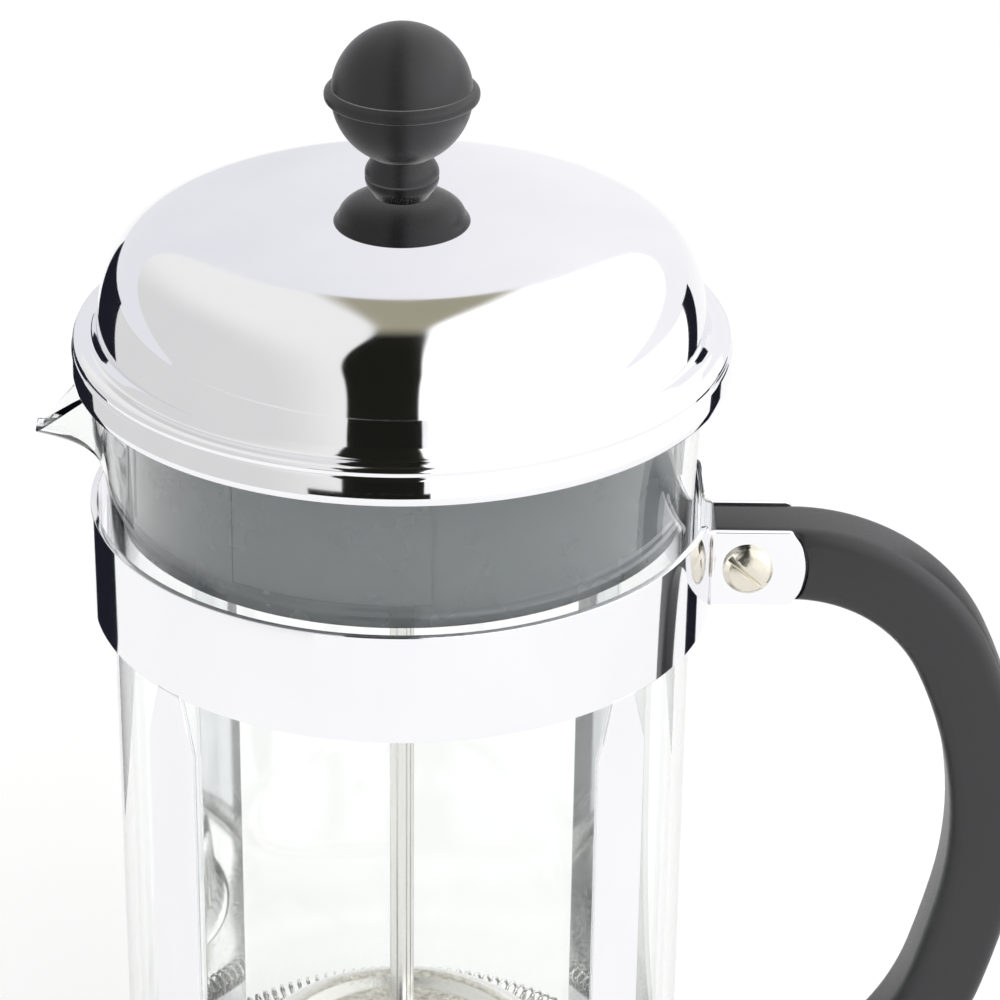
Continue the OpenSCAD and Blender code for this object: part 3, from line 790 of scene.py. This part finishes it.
def makeHubNut():
    low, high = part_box("lid_nut")
    thick = (high.z - low.z) / mm
    clearSelection()
    bpy.ops.mesh.primitive_cylinder_add(vertices=6, radius=lid["nutR"] * mm, depth=thick * mm,
                                        rotation=(0, 0, math.pi / 6), location=(axisX, 0, (low.z + high.z) / 2))
    nut = nameIt("hubNut")
    bpy.ops.object.transform_apply(location=True, rotation=True, scale=True)
    bore = lathe("bore", [(0, 0), (lid["hub"] + 0.02, 0), (lid["hub"] + 0.02, 300), (0, 300)], 64)
    cutWith(nut, bore)
    softenEdges(nut, 0.35, 3, 40)
    shadeSmooth(nut, 35)
    return nut


finishPiece(makeHubNut(), "plated_steel", "lid_hub", ["lid_nut"])
print("lid ready")


knob = {"top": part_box("knob_cap")[1].z / mm, "low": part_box("knob_base")[0].z / mm, "ball": 11.3,
        "ridge": 12.4, "ridgeHigh": 0.75, "bead": 5.95, "neck": 4.5, "bore": 2.15, "knurls": 32}


def makeKnobBase():
    k = knob
    middle = k["top"] - k["ball"]
    low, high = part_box("knob_insert")
    insertLow, insertHigh = low.z / mm - 0.02, high.z / mm + 0.02
    pocket = (high.x - low.x) / 2 / mm + 0.02
    lower = []
    for i in range(15):
        a = math.radians(-65 + 59 * i / 14)
        lower.append((k["ball"] * math.cos(a), middle + k["ball"] * math.sin(a)))
    corners = ([(k["bore"], k["low"]), (k["bead"], k["low"], 0.12), (k["bead"] * 1.0, k["low"] + 1.2, 0.7),
                (k["bead"] * 0.86, k["low"] + 2.6, 0.7), (k["neck"], k["low"] + 3.2, 0.25)] + lower
               + [(k["ridge"] - 0.12, middle - k["ridgeHigh"], 0.35), (k["ridge"], middle, 0.3),
                  (k["ridge"] - 0.12, middle + k["ridgeHigh"] * 0.8, 0.35),
                  (k["ball"] + 0.12, middle + 1.25, 0.2), (k["ball"] - 0.1, middle + 1.2),
                  (k["ball"] - 2, middle + 0.6), (k["bore"], middle + 0.6),
                  (k["bore"], insertHigh), (pocket, insertHigh), (pocket, insertLow), (k["bore"], insertLow),
                  (k["bore"], k["low"])])
    return lathe("knobLower", corners, 128)


def makeKnobCap():
    k = knob
    middle = k["top"] - k["ball"]
    start = math.asin(1.3 / k["ball"])
    upper = []
    for i in range(25):
        a = start + (math.pi / 2 - start) * i / 24
        upper.append((k["ball"] * math.cos(a), middle + k["ball"] * math.sin(a)))
    corners = [(0, middle + 0.7), (k["ball"] - 2.2, middle + 0.7), (k["ball"] - 0.35, middle + 1.15)] + upper
    corners[-1] = (0, k["top"])
    return lathe("knobUpper", corners, 128)


def makeInsert():  # knurled brass, moulded into the knob
    low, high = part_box("knob_insert")
    outer = (high.x - low.x) / 2 / mm
    low, high = low.z / mm, high.z / mm
    middle = (low + high) / 2
    bore, waist = knob["bore"], outer - 0.5
    piece = lathe("brassInsert", [(bore, low), (outer, low, 0.3), (outer, middle - 1, 0.2),
                                  (waist, middle - 0.7, 0.2), (waist, middle + 0.7, 0.2),
                                  (outer, middle + 1, 0.2), (outer, high, 0.3),
                                  (bore, high), (bore, low)], 96)
    for vert in piece.data.vertices:
        x, y = vert.co.x - axisX, vert.co.y
        if math.hypot(x, y) > (outer - 0.2) * mm:
            shrink = 1 - 0.03 * (0.5 + 0.5 * math.cos(knob["knurls"] * math.atan2(y, x)))
            vert.co.x, vert.co.y = axisX + x * shrink, y * shrink
    return piece


insert = finishPiece(makeInsert(), "brass", "plunger", ["knob_insert"])
knobLower = finishPiece(makeKnobBase(), "black_plastic", "plunger", ["knob_base"])
knobUpper = finishPiece(makeKnobCap(), "black_plastic", "plunger", ["knob_cap"])


rodLow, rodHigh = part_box("plunger_rod")
springLow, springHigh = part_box("filter_spring")
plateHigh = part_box("spring_plate")[1]
press = {
    "rod": 2.1, "thread": 0.75, "threadLong": 12, "mesh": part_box("filter_mesh")[0].z / mm, "meshThick": 0.4,
    "meshR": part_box("filter_mesh")[1].y / mm, "crown": 28, "crownTop": plateHigh.z / mm, "plateThick": 0.8,
    "plateR": plateHigh.y / mm, "ribs": 54, "ribDeep": 0.45, "collarR": 4.2,
    "ring": (springHigh.y - springLow.y) / 2 / mm - 2, "coil": 2.0, "wire": 0.32, "turns": 150,
    "crossR": 39, "holes": 6, "holeR": 8, "hubR": 5, "hubHigh": 7}


def makeRod():
    p = press
    low, high = rodLow.z / mm, rodHigh.z / mm
    corners = [(0, low), (p["rod"] - 0.4, low, 0.1)]
    z = low + 0.4
    while z < low + p["threadLong"]:  # rolled thread for the hub
        corners += [(p["rod"], z), (p["rod"] - 0.3, z + p["thread"] / 2)]
        z += p["thread"]
    corners += [(p["rod"], z), (p["rod"], (low + high) / 2), (p["rod"], high - 0.3, 0.1), (0, high)]
    return lathe("rod", corners, 48)


def makeCollar():
    low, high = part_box("rod_collar")
    low, high = low.z / mm, high.z / mm
    r = press["collarR"]
    return lathe("collar", [(press["rod"], low), (r, low, 0.3), (r, high - 1, 0.5), (r - 1.2, high, 0.4),
                            (press["rod"], high)], 48)


def makeSpringPlate():
    p = press
    low = p["mesh"] + p["meshThick"]
    top, c = p["crownTop"], p["crown"]
    corners = [(p["rod"], top), (6, top, 0.5), (8, top - 0.7, 0.8), (c - 8, top - 0.7, 0.8), (c - 5.5, top, 0.8),
               (c - 2.6, top, 0.9), (c - 0.3, top - 1.2, 0.9), (c + 0.1, top - 3.5), (c + 0.4, top - 5.5),
               (c + 1.0, low + 4.0, 0.8), (c + 3.4, low + 0.9, 1.2), (p["plateR"] - 4, low + 0.9),
               (p["plateR"], low + 0.9, 0.3), (p["plateR"], low, 0.3), (c + 3.0, low, 1.0),
               (c + 0.2, low + 3.6, 0.8), (c - 0.5, top - 5.5), (c - 0.8, top - 3.5), (c - 1.2, top - 1.8, 0.8),
               (c - 2.9, top - 0.8, 0.8), (c - 5.3, top - 0.8, 0.8), (c - 7.8, top - 1.5, 0.8),
               (8.2, top - 1.5, 0.8), (6.2, top - 0.8, 0.4), (p["rod"], top - 0.8), (p["rod"], top)]
    plate = lathe("springPlate", corners, p["ribs"] * 6)
    for vert in plate.data.vertices:  # pleats pressed into the crown's side
        x, y = vert.co.x / mm - axisX / mm, vert.co.y / mm
        r, z = math.hypot(x, y), vert.co.z / mm
        if not c - 3.2 < r < c + 3.0:
            continue
        fade = min(1, max(0, (top - 0.4 - z) / 1.5)) * min(1, max(0, (z - low - 1.0) / 2))
        fold = math.cos(p["ribs"] * math.atan2(y, x))
        shift = -p["ribDeep"] * fade * max(0, fold) ** 3
        vert.co.x += x / r * shift * mm
        vert.co.y += y / r * shift * mm
    shadeSmooth(plate, 50)
    return plate


def makeSpring():  # the coil runs round the plate's edge
    p = press
    ring, coil, z = p["ring"], p["coil"] - p["wire"], (springLow.z + springHigh.z) / 2
    curve = bpy.data.curves.new("edgeSpring", "CURVE")
    curve.dimensions = "3D"
    curve.bevel_depth = p["wire"] * mm
    curve.bevel_resolution = 1
    spline = curve.splines.new("POLY")
    perTurn = 9
    count = p["turns"] * perTurn
    spline.points.add(count - 1)
    for i in range(count):
        around = turnAll * i / count
        roll = turnAll * i / perTurn
        r = (ring + coil * math.cos(roll)) * mm
        height = z + coil * math.sin(roll) * mm
        spline.points[i].co = (axisX + r * math.cos(around), r * math.sin(around), height, 1)
    spline.use_cyclic_u = True
    spring = bpy.data.objects.new("edgeSpring", curve)
    bpy.context.scene.collection.objects.link(spring)
    pick(spring)
    bpy.ops.object.convert(target="MESH")
    spring = bpy.context.object
    shadeSmooth(spring, 60)
    return spring


def makeMesh():
    p = press
    low, r = p["mesh"], p["meshR"]
    return lathe("wireMesh", [(p["rod"], low), (r, low, 0.2), (r, low + p["meshThick"], 0.15),
                              (p["rod"], low + p["meshThick"]), (p["rod"], low)], 128)


def makeCrossPlate():
    p = press
    top = p["mesh"]
    low = top - p["plateThick"]
    r = p["crossR"]
    plate = lathe("crossPlate", [(p["rod"], low), (r, low, 0.4), (r, top, 0.4), (p["rod"], top), (p["rod"], low)],
                  128)
    far = (r + p["hubR"]) / 2 + 1
    cutters = []
    for k in range(p["holes"]):
        clearSelection()
        a = turnAll * k / p["holes"]
        where = (axisX + far * math.cos(a) * mm, far * math.sin(a) * mm, low * mm)
        bpy.ops.mesh.primitive_cylinder_add(vertices=64, radius=p["holeR"] * mm, depth=4 * mm, location=where)
        bpy.ops.object.transform_apply(location=True, rotation=True, scale=True)
        cutters.append(bpy.context.object)
    cutWith(plate, joinAll(cutters[0], cutters[1:]))
    softenEdges(plate, 0.15, 2, 50)
    shadeSmooth(plate, 40)
    return plate


def makeCrossHub():
    p = press
    high = p["mesh"] - p["plateThick"]
    low = high - p["hubHigh"]
    return lathe("crossHub", [(p["rod"], low), (p["hubR"] - 1.2, low, 0.3), (p["hubR"] - 0.6, low + 1.5, 0.5),
                              (p["hubR"] - 0.6, high - 1.2, 0.5), (p["hubR"], high, 0.1), (p["rod"], high),
                              (p["rod"], low)], 64)


rod = finishPiece(makeRod(), "stainless", "plunger", ["plunger_rod"])
finishPiece(makeCollar(), "stainless", "plunger", ["rod_collar"])
finishPiece(makeSpringPlate(), "stainless", "plunger", ["spring_plate"])
finishPiece(makeSpring(), "stainless", "plunger", ["filter_spring"])
wireMesh = finishPiece(makeMesh(), "stainless", "plunger", ["filter_mesh"])
wireMesh.data.materials[0] = meshWires
finishPiece(makeCrossPlate(), "stainless", "plunger", ["cross_plate"])
finishPiece(makeCrossHub(), "stainless", "plunger", ["cross_hub"])
for piece in (ferruleCone, knobLower, knobUpper, insert, rod):  # the polished crown stays a plain pale field
    piece.visible_glossy = False
print("plunger ready")


shot = {"distance": 0.6467, "pitch": 27.7, "turn": 1.5, "aimZ": 0.147, "lens": 138.9, "shift": (0.098, 0.076)}
pitch, turn = math.radians(shot["pitch"]), math.radians(shot["turn"])
back = Vector((math.sin(turn) * math.cos(pitch), -math.cos(turn) * math.cos(pitch), math.sin(pitch)))
cameraData = bpy.data.cameras.new("camera")
camera = bpy.data.objects.new("camera", cameraData)
bpy.context.scene.collection.objects.link(camera)
camera.location = Vector((axisX, 0, shot["aimZ"])) + back * shot["distance"]
camera.rotation_euler = (-back).to_track_quat("-Z", "Y").to_euler()
cameraData.lens = shot["lens"]
cameraData.shift_x, cameraData.shift_y = shot["shift"]
cameraData.clip_start, cameraData.clip_end = 0.01, 20
bpy.context.scene.camera = camera


def mathNode(tree, operation, first, second=None):
    node = tree.nodes.new("ShaderNodeMath")
    node.operation = operation
    for k, value in enumerate((first, second)):
        if isinstance(value, (int, float)):
            node.inputs[k].default_value = value
        elif value is not None:
            tree.links.new(value, node.inputs[k])
    return node.outputs[0]


def easeNode(tree, source, start, end, low=0.0, high=1.0):
    ease = tree.nodes.new("ShaderNodeMapRange")
    ease.interpolation_type = "SMOOTHSTEP"
    for key, value in (("From Min", start), ("From Max", end), ("To Min", low), ("To Max", high)):
        ease.inputs[key].default_value = value
    tree.links.new(source, ease.inputs["Value"])
    return ease.outputs["Result"]


def mixNode(tree, mask, first, second):
    mix = tree.nodes.new("ShaderNodeMix")
    mix.data_type = "RGBA"
    tree.links.new(mask, mix.inputs[0])
    for k, value in ((6, first), (7, second)):
        if isinstance(value, tuple):
            mix.inputs[k].default_value = (*value, 1)
        else:
            tree.links.new(value, mix.inputs[k])
    return mix.outputs[2]


room = {"backLeft": (0.84, 0.84, 0.88), "backRight": (0.98, 0.98, 1.0), "left": (0.74, 0.74, 0.73),
        "leftNear": (0.92, 0.92, 0.90), "right": (1.35, 1.35, 1.33), "rightFar": (1.9, 1.9, 1.9),
        "olive": (0.36, 0.34, 0.25), "black": (0.012, 0.012, 0.009), "edge": 26.5, "oliveEnd": 58}


def leftTone(tree, x):  # the left panel brightens towards the gap
    return mixNode(tree, easeNode(tree, x, -0.75, -0.25), room["left"], room["leftNear"])


def makeWorld():  # a pale sweep behind, two panels in front and the dark gap between them
    r = room
    world = bpy.data.worlds.new("studio")
    world.use_nodes = True
    bpy.context.scene.world = world
    tree = world.node_tree
    where = tree.nodes.new("ShaderNodeTexCoord")
    split = tree.nodes.new("ShaderNodeSeparateXYZ")
    tree.links.new(where.outputs["Generated"], split.inputs["Vector"])
    x, y, z = (split.outputs[k] for k in "XYZ")
    up = mathNode(tree, "MAXIMUM", z, 0.0001)
    # The climb runs in degrees from the horizon behind, over the top, to the front.
    climb = mathNode(tree, "MULTIPLY", mathNode(tree, "ARCTAN2", up, y), 180 / math.pi)
    middle = easeNode(tree, climb, 60, 130, -0.015, -0.09)
    half = easeNode(tree, climb, 45, 140, 0.034, 0.215)
    gap = mathNode(tree, "SUBTRACT", mathNode(tree, "ABSOLUTE", mathNode(tree, "SUBTRACT", x, middle)), half)
    left = leftTone(tree, x)
    right = mixNode(tree, easeNode(tree, x, 0.35, 0.8), r["right"], r["rightFar"])
    panels = mixNode(tree, easeNode(tree, x, -0.03, 0.03), left, right)
    oliveToBlack = easeNode(tree, climb, r["oliveEnd"] - 12, r["oliveEnd"] + 12)
    dark = mixNode(tree, oliveToBlack, r["olive"], r["black"])
    front = mixNode(tree, easeNode(tree, gap, -0.006, 0.012), dark, panels)
    back = mixNode(tree, easeNode(tree, x, -0.09, 0.05), r["backLeft"], r["backRight"])
    colour = mixNode(tree, easeNode(tree, climb, r["edge"] - 0.25, r["edge"] + 0.25), back, front)
    tree.links.new(colour, tree.nodes["Background"].inputs["Color"])
    tree.nodes["Background"].inputs["Strength"].default_value = 1.0


def plainMaterial(name, colour, glow=0.0):
    material, tree, shader = startMaterial(name, Roughness=0.9, Base_Color=(*colour, 1), Specular_IOR_Level=0.0)
    if glow:
        shader.inputs["Emission Color"].default_value = (*colour, 1)
        shader.inputs["Emission Strength"].default_value = glow
    return material


def stageCard(card, colour=None):  # glows by itself, and only reflections show it
    material, tree, shader = startMaterial(card.name, Base_Color=(0, 0, 0, 1), Roughness=1.0,
                                           Emission_Strength=1.0, Specular_IOR_Level=0.0)
    if colour:
        shader.inputs["Emission Color"].default_value = (*colour, 1)
    else:
        where = tree.nodes.new("ShaderNodeTexCoord")
        aim, split = tree.nodes.new("ShaderNodeVectorMath"), tree.nodes.new("ShaderNodeSeparateXYZ")
        aim.operation = "NORMALIZE"
        tree.links.new(where.outputs["Object"], aim.inputs[0])
        tree.links.new(aim.outputs[0], split.inputs[0])
        tree.links.new(leftTone(tree, split.outputs["X"]), shader.inputs["Emission Color"])
    card.data.materials.append(material)
    for ray in ("camera", "diffuse", "shadow", "transmission"):
        setattr(card, "visible_" + ray, False)


def addCard(name, colour, low, high):
    stageCard(addBox(name, low, high), colour)


def addSector(name, colour, radii, turns):  # part of a flat ring that lies on the table
    start, end = turns
    card = drawPath(name, [Vector((radii[0], 0.5)), Vector((radii[1], 0.5))])
    bpy.ops.mesh.select_all(action="SELECT")
    spinAll(end - start, max(4, int((end - start) / 4)), axisPoint, (0, 0, 1))
    bpy.ops.object.mode_set(mode="OBJECT")
    turnAboutRod(card, start)
    stageCard(card, colour)


def addLamp(name, location, aim, size, power, colour=(1, 1, 1)):
    data = bpy.data.lights.new(name, "AREA")
    data.shape, data.size = "DISK", size
    data.energy, data.color = power, colour
    lamp = bpy.data.objects.new(name, data)
    lamp.visible_glossy = False
    bpy.context.scene.collection.objects.link(lamp)
    lamp.location = location
    lamp.rotation_euler = (Vector(aim) - Vector(location)).to_track_quat("-Z", "Y").to_euler()


# Flat rings on the table and upright flags behind, which only the chrome mirrors. Radii are in mm.
cards = {"radii": (402, 545, 5900), "dark": (0.010, 0.010, 0.008), "bright": (1.3, 1.3, 1.28),
         "flag": (0.012, 0.012, 0.02)}

makeWorld()
clearSelection()
bpy.ops.mesh.primitive_plane_add(size=12)
floor = nameIt("floor")
floor.data.materials.append(plainMaterial("floorPaper", (0.42, 0.42, 0.42), 1.35))
start, ring, end = cards["radii"]
addSector("tableEnd", cards["dark"], (start, ring), (-118.5, -79.5))
addSector("darkBeyond", cards["dark"], (ring, end), (-107.5, -81.5))
addSector("tableLeft", None, (start - 50, ring), (-230, -118.5))
addSector("leftBeyond", None, (ring, end), (-230, -107.5))
addSector("tableRight", cards["bright"], (start, end), (-79.5, 40))
addCard("flagLeft", cards["flag"], (-251, 150, 0.5), (-112, 152, 205))
addCard("flagRight", cards["flag"], (172, 150, 0.5), (233, 152, 205))
addLamp("key", (axisX + 0.35, -0.6, 1.1), (axisX, 0, 0.15), 0.6, 3)
bpy.context.scene.view_settings.view_transform = "Standard"
